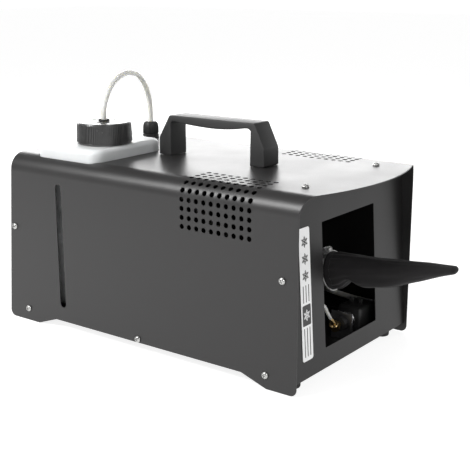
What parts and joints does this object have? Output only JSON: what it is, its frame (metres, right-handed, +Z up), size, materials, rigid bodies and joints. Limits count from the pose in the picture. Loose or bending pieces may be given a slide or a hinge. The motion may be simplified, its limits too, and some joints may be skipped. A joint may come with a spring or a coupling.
{
  "type": "snow machine",
  "caption": "Portable foam snow machine: black sheet case with carry handle, sight slot, capped fluid tank with a looped feed tube, and a cloth outlet sock in a front window.",
  "frame": {"origin": "bottom centre of the bounding box, sock included, on the plane of the rubber feet", "axes": "the outlet window faces -Y, +X is to the right when looking along +Y, +Z is up"},
  "size_m": [0.2504, 0.5536, 0.3083],
  "materials": {
    "black_paint": "satin black powder coat on folded sheet",
    "black_plastic": "fine-textured black moulding",
    "rubber": "dull black rubber",
    "bright_steel": "bright steel",
    "zinc_plate": "dull zinc-plated or cast metal",
    "brass": "machined brass",
    "natural_plastic": "translucent natural polyethylene",
    "clear_tube": "clear silicone, slightly cream",
    "black_cloth": "fine woven black cloth",
    "circuit_board": "green circuit board with dark components",
    "label_film": "white printed film"
  },
  "bodies": {
    "case": {"base_tray": "black_paint", "blower_bracket": "zinc_plate", "blower_housing": "black_plastic", "blower_motor": "zinc_plate", "clamp_band": "bright_steel", "control_board": "circuit_board", "cover": "black_paint", "delivery_tube": "clear_tube", "feed_tube": "clear_tube", "foot_front_left": "rubber", "foot_front_right": "rubber", "foot_rear_left": "rubber", "foot_rear_right": "rubber", "front_label": "label_film", "front_panel": "black_paint", "gland_body": "black_plastic", "gland_locknut": "black_plastic", "gland_nut": "black_plastic", "handle": "black_plastic", "handle_bolt_front": "zinc_plate", "handle_bolt_rear": "zinc_plate", "mains_inlet": "black_plastic", "mains_lead": "black_plastic", "motor_lead": "black_plastic", "outlet_pipe": "black_plastic", "outlet_sock": "black_cloth", "pump_body": "black_plastic", "pump_bracket": "zinc_plate", "pump_fitting": "brass", "pump_tube": "clear_tube", "rear_panel": "black_paint", "remote_socket": "black_plastic", "screw_left_high_front": "bright_steel", "screw_left_high_rear": "bright_steel", "screw_left_low_front": "bright_steel", "screw_left_low_middle": "bright_steel", "screw_left_low_rear": "bright_steel", "screw_right_high_front": "bright_steel", "screw_right_high_rear": "bright_steel", "screw_right_low_front": "bright_steel", "screw_right_low_middle": "bright_steel", "screw_right_low_rear": "bright_steel", "screw_top_front_left": "bright_steel", "screw_top_front_right": "bright_steel", "screw_top_rear_left": "bright_steel", "screw_top_rear_right": "bright_steel", "spray_nozzle": "brass", "suction_filter": "zinc_plate", "suction_tube": "clear_tube", "switch_frame": "black_plastic", "tank": "natural_plastic", "tank_cradle": "zinc_plate"},
    "cap_lift": {"cap_seal": "rubber"},
    "cap": {"tank_cap": "black_plastic", "cap_grommet": "rubber"},
    "rotor": {"impeller": "zinc_plate", "fan_shaft": "bright_steel"},
    "rocker": {"rocker": "black_plastic"},
    "fuse_drawer": {"fuse_drawer": "black_plastic"}
  },
  "joints": [
    {"name": "cap_lift", "type": "slide", "parent": "case", "child": "cap_lift", "axis": [0, 0, 1], "range_m": [0, 0.0131]},
    {"name": "cap_turn", "type": "hinge", "parent": "cap_lift", "child": "cap", "pos_m": [-0.057, 0.1639, 0.2274], "axis": [0, 0, 1], "range_deg": [0, 1170]},
    {"name": "fan_spin", "type": "hinge", "parent": "case", "child": "rotor", "pos_m": [0, -0.1321, 0.1039], "axis": [0, -0.9842, 0.1771], "continuous": true},
    {"name": "rocker_tilt", "type": "hinge", "parent": "case", "child": "rocker", "pos_m": [0.085, 0.26826, 0.09979], "axis": [1, 0, 0], "range_deg": [0, 20]},
    {"name": "fuse_drawer_slide", "type": "slide", "parent": "case", "child": "fuse_drawer", "axis": [0, 0.9967, 0.0811], "range_m": [0, 0.0145]}
  ],
  "couplings": [
    {"joint": "cap_lift", "follows": "cap_turn", "m_per_rad": 0.00063662}
  ]
}
